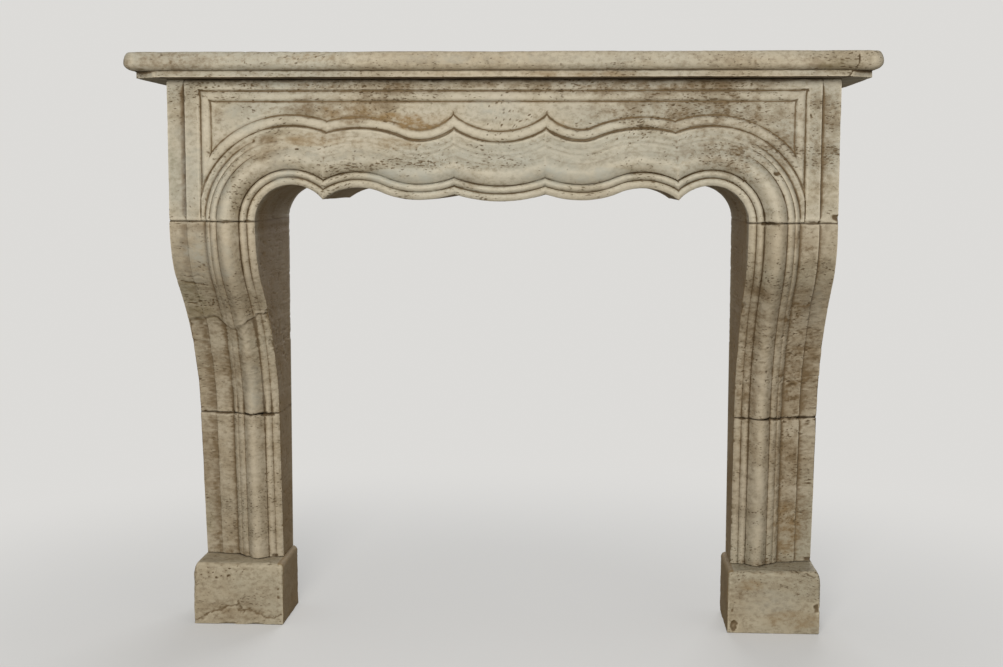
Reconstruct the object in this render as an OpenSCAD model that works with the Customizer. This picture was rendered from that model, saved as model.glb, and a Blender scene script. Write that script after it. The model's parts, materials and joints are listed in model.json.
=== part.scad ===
// Stone fireplace mantel: shelf, arched frieze, two swept jambs in two courses, two plinths.
// The stones are dry jointed. X runs along the wall, the face looks to -Y and the wall is at +Y.

/* [Overall] */
// Clear width between the jambs
opening_w = 890; // [860:10:1100]
// Height from the floor to the top of the shelf
mantel_h = 1100; // [1090:5:1200]
// Depth of the frieze from its face to the wall
body_d = 330; // [300:5:400]

/* [Courses] */
// Width of a jamb
jamb_w = 160; // [150:2:200]
// Height of a plinth
plinth_h = 123; // [100:1:160]
// Height of a lower jamb stone
lower_jamb_h = 295; // [240:5:360]
// Height of an upper jamb stone
upper_jamb_h = 382; // [360:2:460]
// Thickness of the whole shelf
shelf_t = 44; // [36:1:60]

/* [Shelf] */
// Overhang of the rounded upper slab at the front
shelf_over = 58; // [50:1:80]
// Overhang of the rounded upper slab at both ends
shelf_end_over = 64; // [56:1:80]
// Overhang of the thin fillet below it at the front
fillet_over = 40; // [28:1:48]
// Overhang of the thin fillet at both ends
fillet_end_over = 49; // [36:1:54]
// Thickness of the thin fillet
fillet_t = 11; // [8:1:16]
// Cant across the front corners of the fillet, measured from front to back
fillet_cant = 30; // [10:1:36]
// Cant across the front corners of the fillet, measured along the front
fillet_cant_w = 39; // [10:1:45]
// Plan radius of the front corners of the upper slab
shelf_corner_r = 24; // [22:1:40]
// Depth of the rounded nose of the upper slab
nose_d = 19; // [14:1:21]

/* [Plinths] */
// How far a plinth stands into the fire opening
plinth_in = 10; // [4:1:16]
// How far a plinth stands out beyond the side of the jamb
plinth_out = 9; // [4:1:16]
// How far a plinth stands in front of the foot of the torus
plinth_step = 35; // [12:1:45]
// Worn round along the outer top edge, measured across
plinth_round_w = 11; // [4:1:14]
// Worn round along the outer top edge, measured down
plinth_round_h = 30; // [10:1:40]
// Worn round along the front and inner top edges
plinth_edge = 9; // [3:1:12]

/* [Mouldings, from the opening outwards] */
// Width of the inner fillet
arris_w = 14; // [10:1:18]
// Width of the bead beside it
bead_w = 14; // [10:1:18]
// How far the bead stands proud
bead_h = 8; // [4:1:12]
// Width of the torus
torus_w = 40; // [34:1:46]
// How far the torus stands proud
torus_h = 27; // [16:1:32]
// Width of the first roll
roll_w = 14; // [10:1:16]
// How far the first roll stands proud
roll_h = 7; // [4:1:10]
// Width of the second roll
small_roll_w = 10; // [8:1:12]
// How far the flat margin lies behind the inner arris
margin_sink = 7; // [4:1:10]
// Width of the rebate down the outer edge
rebate_w = 34; // [24:1:38]
// How far the rebate lies behind the margin
rebate_sink = 5; // [2:1:8]

/* [Arch] */
// Radius of the haunch that springs from the jamb
haunch_r = 66; // [56:1:76]
// Radius of the haunch on its inner side
haunch_in_r = 78; // [66:1:90]
// Place of a side lobe's crown, as a share of half the opening
lobe_place = 0.575; // [0.56:0.005:0.59]
// Rise of a side lobe's crown above the springing
lobe_rise = 62; // [54:1:68]
// Radius of a side lobe
lobe_r = 107; // [96:1:116]
// Place of a low swag, as a share of half the opening
swag_place = 0.33; // [0.31:0.005:0.34]
// Rise of the low swag above the springing
swag_rise = 40; // [36:1:48]
// Radius of a low swag on its inner side
swag_in_r = 215; // [190:1:230]
// Rise of the middle swag above the springing
middle_rise = 37; // [30:1:42]
// Radius of the middle swag
middle_r = 262; // [230:1:300]

/* [Spandrel panel] */
// Distance of the panel's outer groove from the mouldings
panel_gap = 16; // [12:1:20]
// Width of the flat band around the sunk panel
panel_band = 18; // [12:1:22]
// Distance of the panel's outer groove from the side of the frieze
panel_side = 61; // [50:1:70]
// Distance of the panel's outer groove from the top of the frieze
panel_top = 23; // [16:1:32]
// Width of the groove around the band
groove_w = 3; // [2:0.5:4]
// Depth of the groove around the band
groove_d = 3; // [2:0.5:5]
// Depth of the sunk panel
panel_sink = 3; // [2:0.5:6]

/* [Knee of the jambs] */
// How far the jamb's face falls back between the springing and the lower joint
knee_fall = 203; // [190:1:215]
// Radius of the convex knee below the springing
knee_r = 160; // [140:5:170]
// Steepest slope of the sweep from the upright
sweep_angle = 47; // [42:1:48]
// Radius of the hollow below the sweep
hollow_r = 395; // [340:5:400]
// Slope that is left where the hollow ends
hollow_end_angle = 8; // [4:1:12]
// Further fall of the lower stone's inner arris to its foot
lean_in = 24; // [10:1:36]
// Further fall of the lower stone's outer edge to its foot
lean_out = 40; // [20:1:50]

/* [Hidden] */
$fn = 64;
stone = "tan";
pale_stone = "wheat";

depth = body_d + shelf_over;
wall_y = depth / 2;
face_y = wall_y - body_d;          // the inner arris of the frieze
joint_low = plinth_h + lower_jamb_h;
joint_high = joint_low + upper_jamb_h;
frieze_top = mantel_h - shelf_t;
half_open = opening_w / 2;
half_w = half_open + jamb_w;

fullness = 0.75;                // 1 is a plain sine swell, less is fuller
// ---- the moulding section: [distance from the opening, height proud of the inner arris] ----
// A run of the section between two distances, a straight base with a rounded swell on it.
function swell(from, to, base_from, base_to, rise, steps) =
    [for (i = [0 : steps - 1]) let (t = i / steps)
        [from + (to - from) * t, base_from + (base_to - base_from) * t + rise * sin(180 * t) ^ fullness]];

bead_to = arris_w + bead_w;
torus_to = bead_to + torus_w;
roll_to = torus_to + roll_w;
moulding_w = roll_to + small_roll_w;
overlap = 2;                    // the moulding runs this far under the flat margin beside it
worn_arris = -4;                // height of the rubbed corner at the opening
quirks = [-1, 1, 3, 0];         // height of the quirk after the fillet, bead, torus and roll
section = concat(
    swell(0, arris_w, worn_arris, quirks[0], -worn_arris, 4),
    swell(arris_w, bead_to, quirks[0], quirks[1], bead_h, 4),
    swell(bead_to, torus_to, quirks[1], quirks[2], torus_h - quirks[1], 8),
    swell(torus_to, roll_to, quirks[2], quirks[3], roll_h - quirks[3] - overlap, 4),
    swell(roll_to, moulding_w - overlap, quirks[3], 1 - margin_sink, roll_h / 2, 3),
    [[moulding_w, -margin_sink - overlap]]);
torus_mid = bead_to + torus_w / 2;

// ---- the arch: six arcs on each side, all offsets share their centres ----
function on_arc(c, r, a) = [c[0] + r * cos(a), c[1] + r * sin(a)];
function angle_at(c, p) = atan2(p[1] - c[1], p[0] - c[0]);
// Where two circles cross; side is 1 or -1 for the crossing to the left or right of c1 to c2.
// Circles that just miss each other are parted at the line that is equally far from both, and
// each arc stops there, so that a short straight link joins them.
function crossing(c1, r1, c2, r2, side) =
    let (d = norm(c2 - c1), u = (c2 - c1) / d,
         a = (r1 * r1 - r2 * r2 + d * d) / (2 * d), h = sqrt(max(0, r1 * r1 - a * a)))
    c1 + a * u + side * h * [-u[1], u[0]];

lobe_x = lobe_place * half_open;
swag_x = swag_place * half_open;
haunch_c = [half_open - haunch_r, joint_high];
inner_haunch_c = haunch_c + [0, haunch_r - haunch_in_r];
lobe_c = [lobe_x, joint_high + lobe_rise - lobe_r];
swag_run = lobe_x - swag_x;
swag_fall = lobe_rise - swag_rise;
swag_r = (swag_run ^ 2 + swag_fall ^ 2) / (2 * swag_fall) - lobe_r;
swag_c = [swag_x, joint_high + swag_rise + swag_r];
inner_swag_c = [swag_x, joint_high + swag_rise + swag_in_r];
middle_c = [0, joint_high + middle_rise + middle_r];
turn_angle = angle_at(lobe_c, swag_c);

function drop_cusp(off) = crossing(inner_haunch_c, haunch_in_r + off, lobe_c, lobe_r + off, -1);
function rise_cusp(off) = crossing(inner_swag_c, swag_in_r - off, middle_c, middle_r - off, 1);
function arc_points(c, r, a1, a2, steps, last = 0) =
    [for (i = [0 : steps - 1 + last]) on_arc(c, r, a1 + (a2 - a1) * i / steps)];
function full(a) = a < 0 ? a + 360 : a;

// Half of the arch line at an offset, from the springing to the centre line.
function half_arch(off) = let (k1 = drop_cusp(off), k2 = rise_cusp(off)) concat(
    arc_points(haunch_c, haunch_r + off, 0, 90, 9),
    arc_points(inner_haunch_c, haunch_in_r + off, 90, angle_at(inner_haunch_c, k1), 4),
    arc_points(lobe_c, lobe_r + off, angle_at(lobe_c, k1), turn_angle, 7),
    arc_points(swag_c, swag_r - off, turn_angle + 180, 270, 3),
    arc_points(inner_swag_c, swag_in_r - off, 270, full(angle_at(inner_swag_c, k2)), 3),
    arc_points(middle_c, middle_r - off, full(angle_at(middle_c, k2)), 270, 4, 1));
function mirrored(points) = [for (i = [len(points) - 2 : -1 : 0]) [-points[i][0], points[i][1]]];
function arch(off) = let (h = half_arch(off)) concat(h, mirrored(h));
// The face of the frieze above the arch line, up to its top and out to its sides.
function above_arch(off) = concat(arch(off), [[-half_w, joint_high], [-half_w, frieze_top],
                                              [half_w, frieze_top], [half_w, joint_high]]);

// ---- the knee: how far the jamb's face lies behind the frieze's, by height ----
knee_z = joint_high - knee_r * sin(sweep_angle);
knee_back = knee_r * (1 - cos(sweep_angle));
hollow_drop = hollow_r * (sin(sweep_angle) - sin(hollow_end_angle));
hollow_back = hollow_r * (cos(hollow_end_angle) - cos(sweep_angle));
straight_back = knee_fall - knee_back - hollow_back;
straight_drop = straight_back / tan(sweep_angle);
hollow_z = knee_z - straight_drop;
function lean(across) = (lean_in + (lean_out - lean_in) * across / jamb_w) / lower_jamb_h;
function setback(z) =
    z >= joint_high ? 0 :
    z >= knee_z ? knee_r - sqrt(knee_r ^ 2 - (joint_high - z) ^ 2) :
    z >= hollow_z ? knee_back + (knee_z - z) * tan(sweep_angle) :
    let (s = sin(sweep_angle) - (hollow_z - z) / hollow_r)
    s >= sin(hollow_end_angle)
        ? knee_back + straight_back + hollow_r * (sqrt(1 - s * s) - cos(sweep_angle))
        : knee_fall;
function face_at(z, across) =
    face_y + setback(max(z, joint_low)) + max(0, joint_low - z) * lean(across);

jamb_section = concat(
    [for (i = [0 : len(section) - 2]) section[i]],
    [[moulding_w, -margin_sink], [jamb_w - rebate_w - overlap, -margin_sink],
     [jamb_w - rebate_w, -margin_sink - rebate_sink], [jamb_w, -margin_sink - rebate_sink]]);

// ---- closed solid from rings of points, each ring the same length ----
module rings_solid(rings) {
    n = len(rings[0]);
    m = len(rings);
    points = [for (r = rings) each r];
    sides = [for (j = [0 : m - 2]) for (i = [0 : n - 1]) let (k = (i + 1) % n)
        each [[j * n + i, (j + 1) * n + i, j * n + k], [j * n + k, (j + 1) * n + i, (j + 1) * n + k]]];
    ends = [[for (i = [0 : n - 1]) i], [for (i = [n - 1 : -1 : 0]) (m - 1) * n + i]];
    polyhedron(points, concat(sides, ends));
}

// One jamb stone on the right-hand side, between two heights.
module jamb_stone(low, high, steps) {
    rings_solid([for (j = [0 : steps]) let (z = low + (high - low) * j / steps)
        concat([for (p = jamb_section) [half_open + p[0], face_at(z, p[0]) - p[1], z]],
               [[half_w, wall_y, z], [half_open, wall_y, z]])]);
}

// The moulded ribbon of the frieze: the section carried round the arch line, back to the wall.
module arch_moulding() {
    lines = [for (p = section) arch(p[0])];
    last = len(section) - 1;
    rings_solid([for (i = [0 : len(lines[0]) - 1])
        concat([for (j = [0 : last]) [lines[j][i][0], face_y - section[j][1], lines[j][i][1]]],
               [[lines[last][i][0], wall_y, lines[last][i][1]],
                [lines[0][i][0], wall_y, lines[0][i][1]]])]);
}

// A flat shape drawn in the plane of the face, from depth `front` behind the arris to `back`.
module face_prism(front, back) {
    translate([0, face_y + back, 0])
        rotate([90, 0, 0])
            linear_extrude(back - front)
                children();
}

// The spandrel panel's outline, moved in by an inset from its outer groove.
module panel_outline(inset) {
    intersection() {
        polygon(above_arch(moulding_w + panel_gap + inset));
        translate([-half_w + panel_side + inset, joint_high])
            square([2 * (half_w - panel_side - inset), frieze_top - joint_high - panel_top - inset]);
    }
}

module frieze() {
    clear = 1;
    color(stone) difference() {
        union() {
            face_prism(margin_sink, body_d) polygon(above_arch(moulding_w - overlap));
            arch_moulding();
        }
        face_prism(margin_sink - clear, margin_sink + groove_d)
            difference() {
                panel_outline(0);
                panel_outline(groove_w);
            }
        face_prism(margin_sink - clear, margin_sink + panel_sink)
            panel_outline(panel_band);
        for (side = [-1, 1])
            face_prism(margin_sink - clear, margin_sink + rebate_sink)
                translate([side * (half_w - rebate_w / 2 + clear / 2), (joint_high + frieze_top) / 2])
                    square([rebate_w + clear, frieze_top - joint_high + 2 * clear], center = true);
    }
}

module upper_jamb() {
    color(stone) jamb_stone(joint_low, joint_high, 16);
}

module lower_jamb() {
    color(pale_stone) jamb_stone(plinth_h, joint_low, 2);
}

// A block with a worn round along its outer, front and inner top edges, right-hand side.
module plinth() {
    inner_x = half_open - plinth_in;
    outer_x = half_w + plinth_out;
    plinth_w = outer_x - inner_x;
    plinth_d = wall_y - face_at(plinth_h, torus_mid) + torus_h + plinth_step;
    color(stone) intersection() {
        translate([0, wall_y, 0]) rotate([90, 0, 0]) linear_extrude(plinth_d)
            polygon(concat([[inner_x, 0], [outer_x, 0]],
                [for (a = [0 : 10 : 90]) [outer_x - plinth_round_w * (1 - cos(a)),
                                          plinth_h - plinth_round_h * (1 - sin(a))]],
                [for (a = [90 : 15 : 180]) [inner_x + plinth_edge * (1 + cos(a)),
                                            plinth_h - plinth_edge * (1 - sin(a))]]));
        translate([inner_x - 1, 0, 0]) rotate([90, 0, 90]) linear_extrude(plinth_w + 2)
            polygon(concat([[wall_y + 1, plinth_h], [wall_y + 1, 0], [wall_y - plinth_d, 0]],
                [for (a = [180 : -15 : 90]) [wall_y - plinth_d + plinth_edge * (1 + cos(a)),
                                             plinth_h - plinth_edge * (1 - sin(a))]]));
    }
}

// Section of the upper slab's edge: [distance out from the corner's centre, height above the fillet].
slab_t = shelf_t - fillet_t;
slab_z = frieze_top + fillet_t;
nose_low = 0.42;                // height of the fullest point, as a share of the slab
nose_upper = 0.55;              // share of the nose's depth that its upper round takes
nose_root = shelf_corner_r - nose_d;
nose = concat([[0, 0]],
    [for (a = [-90 : 15 : 0]) [nose_root + nose_d * cos(a), slab_t * nose_low * (1 + sin(a))]],
    [for (a = [15 : 15 : 90]) [nose_root + nose_d * (1 - nose_upper * (1 - cos(a))),
                               slab_t * (nose_low + (1 - nose_low) * sin(a))]],
    [[0, slab_t]]);

module shelf() {
    root_x = half_w + shelf_end_over - shelf_corner_r;
    root_y = shelf_corner_r - wall_y;
    fillet_x = half_w + fillet_end_over;
    fillet_y = face_y - fillet_over;
    color(pale_stone) union() {
        translate([0, 0, frieze_top]) linear_extrude(fillet_t)
            polygon([[-fillet_x, wall_y], [-fillet_x, fillet_y + fillet_cant],
                     [-fillet_x + fillet_cant_w, fillet_y], [fillet_x - fillet_cant_w, fillet_y],
                     [fillet_x, fillet_y + fillet_cant], [fillet_x, wall_y]]);
        translate([-root_x, root_y, slab_z]) cube([2 * root_x, wall_y - root_y, slab_t]);
        translate([-root_x, root_y, slab_z]) rotate([0, 0, -90]) rotate([90, 0, 0])
            mirror([0, 0, 1]) linear_extrude(2 * root_x) polygon(nose);
        for (side = [0, 1]) mirror([side, 0, 0]) {
            translate([root_x, wall_y, slab_z]) rotate([90, 0, 0])
                linear_extrude(wall_y - root_y) polygon(nose);
            translate([root_x, root_y, slab_z]) rotate([0, 0, -90])
                rotate_extrude(angle = 90) polygon(nose);
        }
    }
}

shelf();
frieze();
mirror([1, 0, 0]) upper_jamb();  // upper_jamb_left
upper_jamb();  // upper_jamb_right
mirror([1, 0, 0]) lower_jamb();  // lower_jamb_left
lower_jamb();  // lower_jamb_right
mirror([1, 0, 0]) plinth();  // plinth_left
plinth();  // plinth_right
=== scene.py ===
# %% [markdown]
# # A carved travertine fireplace mantel
# Eight dry-jointed stones: a shelf, a frieze cut as a scalloped arch, two jambs of two courses
# each and two plinths. The packed construction model gives the place and size of every stone.
# Each one is worked out again here as a fine numpy surface, so that quirks, pits, chips, open
# joints and cracks are real shape, and then it gets a travertine material.
# %% Load the construction model
import json
import math
import time

import bpy
import numpy as np
from mathutils import Matrix, Vector

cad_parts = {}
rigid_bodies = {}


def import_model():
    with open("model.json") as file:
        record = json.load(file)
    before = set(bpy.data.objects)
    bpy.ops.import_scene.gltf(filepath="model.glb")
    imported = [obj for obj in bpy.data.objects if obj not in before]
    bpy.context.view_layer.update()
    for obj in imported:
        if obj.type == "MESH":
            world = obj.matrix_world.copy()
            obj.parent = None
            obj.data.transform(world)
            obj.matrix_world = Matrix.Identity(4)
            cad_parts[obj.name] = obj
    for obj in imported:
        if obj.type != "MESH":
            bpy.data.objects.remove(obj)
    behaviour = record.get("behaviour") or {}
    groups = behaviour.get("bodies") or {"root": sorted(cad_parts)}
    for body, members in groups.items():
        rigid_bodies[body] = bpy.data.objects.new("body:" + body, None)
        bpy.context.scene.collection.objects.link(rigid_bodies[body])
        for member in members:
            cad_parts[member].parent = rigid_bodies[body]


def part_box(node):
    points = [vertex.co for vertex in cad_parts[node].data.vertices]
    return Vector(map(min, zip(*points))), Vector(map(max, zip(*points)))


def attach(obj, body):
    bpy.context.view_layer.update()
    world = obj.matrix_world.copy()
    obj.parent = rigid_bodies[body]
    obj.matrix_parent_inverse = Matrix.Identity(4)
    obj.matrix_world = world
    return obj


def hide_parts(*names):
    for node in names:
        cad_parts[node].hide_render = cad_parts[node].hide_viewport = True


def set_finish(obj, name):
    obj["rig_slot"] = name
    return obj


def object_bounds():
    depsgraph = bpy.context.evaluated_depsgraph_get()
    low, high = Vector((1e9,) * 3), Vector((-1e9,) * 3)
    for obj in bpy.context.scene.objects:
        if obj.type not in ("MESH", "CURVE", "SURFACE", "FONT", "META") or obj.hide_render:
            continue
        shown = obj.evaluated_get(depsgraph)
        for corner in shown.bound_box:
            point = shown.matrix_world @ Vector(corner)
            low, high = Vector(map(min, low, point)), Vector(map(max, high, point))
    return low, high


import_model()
cad_low, cad_high = [list(corner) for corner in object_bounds()]
print("construction box, m:", np.round(cad_low, 4), np.round(cad_high, 4))

# %% [markdown]
# Lengths below are in millimetres, as a mason would write them, and become metres when a mesh
# is made. The outer sizes are read from the stones themselves. Only the sizes of the mouldings,
# the arch and the knee are written out, since a box can't tell them.
# %% Sizes of the stones
MM = 0.001


def stone_box(node):
    """Lowest and highest corner of a stone, in millimetres."""
    low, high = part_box(node)
    return np.array(low) / MM, np.array(high) / MM


frieze_low, frieze_high = stone_box("frieze")
jamb_low, jamb_high = stone_box("upper_jamb_right")
foot_low, foot_high = stone_box("lower_jamb_right")
shelf_low, shelf_high = stone_box("shelf")

half_w, wall_y = frieze_high[0], frieze_high[1]
half_open = jamb_low[0]
joint_high, joint_low, plinth_h = frieze_low[2], jamb_low[2], foot_low[2]
frieze_top, mantel_h = frieze_high[2], shelf_high[2]
jamb_w = half_w - half_open
body_d = 330.0
face_y = wall_y - body_d
print("opening", round(2 * half_open), "joints at", round(joint_low), round(joint_high),
      "face at y", round(face_y))

# %% [markdown]
# ## The moulding
# From the opening outwards a moulding runs up each jamb and over the arch: a thin fillet, a
# bead, a big torus and two rolls that die into the flat margin. A mason cuts it with a template,
# so one curve of height against distance describes it everywhere. Each member is a swell: a
# straight base line plus a sine raised to 0.75, which is a little fuller than a plain sine.
# %% The section of the moulding
SECTION = [  # start, end, base at start, base at end, rise
    (0, 14, -4, -1, 4), (14, 28, -1, 1, 7.5), (28, 68, 1, 8, 22.5), (68, 82, 8, 3, 4.5), (82, 92, 3, -7, 4)]
MOULDING_W, MARGIN, REBATE = 92.0, -7.0, -12.0
REBATE_LINE = 126.0


def swell(distance, member):
    """Base line plus rise times the sine of the way across, to the power 0.75."""
    start, end, base_start, base_end, rise = member
    t = np.clip((distance - start) / (end - start), 0, 1)
    return base_start + (base_end - base_start) * t + rise * np.sin(np.pi * t) ** 0.75


def moulding_height(distance, rolls=1.0):
    """Height proud of the inner arris at a distance from the opening.

    rolls is 1 where torus and rolls stand full. At 0 the torus is a low swell that eases
    out on its far side, a cosine, into a gentle slope with faint ripples."""
    distance = np.asarray(distance, float)
    height = np.full(distance.shape, MARGIN)
    for member in SECTION:
        inside = (distance >= member[0]) & (distance <= member[1])
        height = np.where(inside, swell(distance, member), height)
    t = np.clip((distance - 28) / 44, 0, 1)
    low_swell = 1 + 7 * t + 11.5 * np.where(t < 0.42, np.abs(np.sin(np.pi * t / 0.84)) ** 0.5,
                                          0.5 + 0.5 * np.cos(np.pi * (t - 0.42) / 0.58))
    ripple = 0.55 * np.sin((distance - 66) * 2 * np.pi / 9.5) * np.exp(-((distance - 78) / 15) ** 2)
    slope = 8 - 12.5 * np.clip((distance - 72) / 34, 0, 1) ** 1.1 + ripple
    rubbed = np.where(distance > 72, slope, low_swell + np.where(distance > 60, ripple, 0))
    rubbed = np.where(distance > 106, MARGIN, rubbed)
    return np.where(distance > 28, rubbed + (height - rubbed) * rolls, height)


def crowded(start, end, steps, crowd=0.55):
    """Steps from start to end that crowd towards both ends, where a quirk bends sharply."""
    u = np.linspace(0, 1, steps + 1)
    return start + (end - start) * ((1 - crowd) * u + crowd * (0.5 - 0.5 * np.cos(np.pi * u)))


def joined(*runs):
    """Runs of numbers in one list, each number once."""
    return np.unique(np.round(np.concatenate(runs), 6))


moulding_rows = joined(crowded(0, 14, 9), crowded(14, 28, 9), crowded(28, 68, 22),
                       crowded(68, 82, 9), crowded(82, 92, 6))
print("rows across the moulding:", len(moulding_rows), "torus crest", moulding_height(np.array([48.0])))

# %% [markdown]
# ## The arch
# The opening's head is drawn with compasses: a haunch springs from each jamb, then come a lobe,
# a low swag of two radii and the middle swag. Sharp cusps stand where arcs cross. All offsets
# share the same centres, which keeps the moulding's width even and mitres it at the cusps.
# %% The arch line at any offset
HAUNCH_R, HAUNCH_IN_R, LOBE_R, SWAG_IN_R, MIDDLE_R = 66.0, 78.0, 107.0, 215.0, 262.0
LOBE_RISE, SWAG_RISE, MIDDLE_RISE = 62.0, 40.0, 37.0
lobe_x, swag_x = 0.575 * half_open, 0.33 * half_open
swag_fall = LOBE_RISE - SWAG_RISE
SWAG_R = ((lobe_x - swag_x) ** 2 + swag_fall ** 2) / (2 * swag_fall) - LOBE_R
haunch_c = np.array([half_open - HAUNCH_R, joint_high])
inner_haunch_c = haunch_c + [0, HAUNCH_R - HAUNCH_IN_R]
lobe_c = np.array([lobe_x, joint_high + LOBE_RISE - LOBE_R])
swag_c = np.array([swag_x, joint_high + SWAG_RISE + SWAG_R])
inner_swag_c = np.array([swag_x, joint_high + SWAG_RISE + SWAG_IN_R])
middle_c = np.array([0, joint_high + MIDDLE_RISE + MIDDLE_R])


def crossing(c1, r1, c2, r2, side):
    """Point where two circles cross, on the left (1) or right (-1) of the way from c1 to c2."""
    d = np.linalg.norm(c2 - c1)
    u = (c2 - c1) / d
    a = (r1 * r1 - r2 * r2 + d * d) / (2 * d)
    h = math.sqrt(max(0.0, r1 * r1 - a * a))
    return c1 + a * u + side * h * np.array([-u[1], u[0]])


def heading(centre, point):
    """Angle from a centre to a point, 0 to 360 degrees."""
    return math.degrees(math.atan2(point[1] - centre[1], point[0] - centre[0])) % 360


turn = heading(lobe_c, swag_c)


def half_arcs(off):
    """The six arcs of half the arch at an offset: centre, radius, first and last angle."""
    drop = crossing(inner_haunch_c, HAUNCH_IN_R + off, lobe_c, LOBE_R + off, -1)
    rise = crossing(inner_swag_c, SWAG_IN_R - off, middle_c, MIDDLE_R - off, 1)
    return [(haunch_c, HAUNCH_R + off, 0, 90),
            (inner_haunch_c, HAUNCH_IN_R + off, 90, heading(inner_haunch_c, drop)),
            (lobe_c, LOBE_R + off, heading(lobe_c, drop), turn),
            (swag_c, SWAG_R - off, turn + 180, 270),
            (inner_swag_c, SWAG_IN_R - off, 270, heading(inner_swag_c, rise)),
            (middle_c, MIDDLE_R - off, heading(middle_c, rise), 270)]


arc_steps = [max(6, round(math.radians(abs(b - a)) * r / 1.95)) for _, r, a, b in half_arcs(44)]


def half_line(off):
    """Points of half the arch line, from the springing to the middle, at an offset."""
    runs = []
    for (centre, r, first, last), steps in zip(half_arcs(off), arc_steps):
        angle = np.radians(first + (last - first) * np.arange(steps) / steps)
        runs.append(centre + r * np.stack([np.cos(angle), np.sin(angle)], 1))
    return np.concatenate(runs + [np.array([[0.0, middle_c[1] - MIDDLE_R + off]])])


print("steps along the six arcs:", arc_steps, "crown of the middle", half_line(0)[-1])

# %% [markdown]
# ## The knee
# Below the upper joint the jamb's face rolls back, runs down a steep straight and eases out in
# a long hollow, an S drawn with two arcs and their common tangent. Below the lower joint the
# stone only leans back a little, more at its outer edge than at the opening.
# %% How far the face lies behind the frieze's
KNEE_R, KNEE_FALL, SWEEP, HOLLOW_R, HOLLOW_END = 160.0, 203.0, math.radians(47), 395.0, math.radians(8)
LEAN_IN, LEAN_OUT = 24.0, 40.0
knee_z = joint_high - KNEE_R * math.sin(SWEEP)
knee_back = KNEE_R * (1 - math.cos(SWEEP))
hollow_back = HOLLOW_R * (math.cos(HOLLOW_END) - math.cos(SWEEP))
straight_back = KNEE_FALL - knee_back - hollow_back
hollow_z = knee_z - straight_back / math.tan(SWEEP)


def setback(z):
    """Knee arc, then a straight at the sweep angle, then the hollow arc, then plumb."""
    z = np.asarray(z, float)
    knee = KNEE_R - np.sqrt(np.maximum(KNEE_R ** 2 - np.clip(joint_high - z, 0, KNEE_R) ** 2, 0))
    straight = knee_back + (knee_z - z) * math.tan(SWEEP)
    s = np.clip(math.sin(SWEEP) - (hollow_z - z) / HOLLOW_R, math.sin(HOLLOW_END), math.sin(SWEEP))
    hollow = knee_back + straight_back + HOLLOW_R * (np.sqrt(1 - s * s) - math.cos(SWEEP))
    return np.where(z >= knee_z, knee, np.where(z >= hollow_z, straight, hollow))


def jamb_face(z, across):
    """Where a jamb's arris plane lies in Y, at a height and a distance from the opening."""
    lean = (LEAN_IN + (LEAN_OUT - LEAN_IN) * across / jamb_w) / (joint_low - plinth_h)
    return face_y + setback(np.maximum(z, joint_low)) + np.maximum(0, joint_low - z) * lean


print("knee ends at", round(knee_z), "hollow begins at", round(hollow_z))

# %% [markdown]
# ## From patches to a closed stone
# A stone is laid out as a few grids of points: its front, its sides, its beds. Neighbouring
# grids share their border points exactly. Welding rounds every point to a ten-thousandth of a
# millimetre and keeps one copy, and a square that has lost a corner becomes a triangle. Each
# grid is told roughly which way is out, so no face looks inwards.
# %% Weld grids into one closed skin


def grid_faces(rows, columns, first):
    """Squares of a grid of points, numbered row by row from first."""
    index = first + np.arange(rows * columns).reshape(rows, columns)
    return np.stack([index[:-1, :-1], index[:-1, 1:], index[1:, 1:], index[1:, :-1]], -1).reshape(-1, 4)


def face_normals(points, faces):
    """Normal of each face, as long as twice its area: the cross product of its diagonals."""
    a, b, c, d = (points[faces[:, k]] for k in range(4))
    return np.cross(c - a, d - b)


def weld(patches):
    """Joins (grid, outward direction) pairs into points, squares and triangles."""
    points, faces, start = [], [], 0
    for grid, outward in patches:
        rows, columns = grid.shape[:2]
        flat = grid.reshape(-1, 3)
        quads = grid_faces(rows, columns, 0)
        if face_normals(flat, quads).sum(0) @ np.array(outward, float) < 0:
            quads = quads[:, ::-1]
        points.append(flat)
        faces.append(quads + start)
        start += len(flat)
    points, faces = np.concatenate(points), np.concatenate(faces)
    _, first, renumber = np.unique(np.round(points, 4), axis=0, return_index=True, return_inverse=True)
    points, faces = points[first], renumber.reshape(-1)[faces]
    same = np.stack([faces[:, k] == faces[:, (k + 1) % 4] for k in range(4)], 1)
    crossed = (faces[:, 0] == faces[:, 2]) | (faces[:, 1] == faces[:, 3])
    quads = faces[~same.any(1) & ~crossed]
    three = (same.sum(1) == 1) & ~crossed
    triangles = [np.roll(faces[same[:, k] & three], -k - 1, 1)[:, :3] for k in range(4)]
    return points, quads, np.concatenate(triangles)


def as_quads(quads, triangles):
    """Triangles written as squares with their last corner twice, after the real squares."""
    return np.concatenate([quads, triangles[:, [0, 1, 2, 2]]])


square = np.array([[[0, 0, 0], [0, 1, 0]], [[1, 0, 0], [1, 1, 0]]], float)
pair = weld([(square, (0, 0, 1)), (square + [1, 0, 0], (0, 0, 1))])
print("two squares side by side weld to", len(pair[0]), "points and", len(pair[1]), "faces")

# %% Measure and smooth a skin


def open_edges(faces):
    """How many edges don't have exactly two faces: 0 on a closed skin."""
    edges = np.concatenate([faces[:, [k, (k + 1) % 4]] for k in range(4)])
    edges = np.sort(edges[edges[:, 0] != edges[:, 1]], 1)
    _, uses = np.unique(edges, axis=0, return_counts=True)
    return int((uses != 2).sum())


def point_normals(points, faces):
    """Unit normal at each point: the sum of the faces around it."""
    normals = face_normals(points, faces)
    total = np.stack([np.bincount(faces.ravel(), np.repeat(normals[:, k], 4), len(points))
                      for k in range(3)], 1)
    return total / np.maximum(np.linalg.norm(total, axis=1, keepdims=True), 1e-9)


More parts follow.
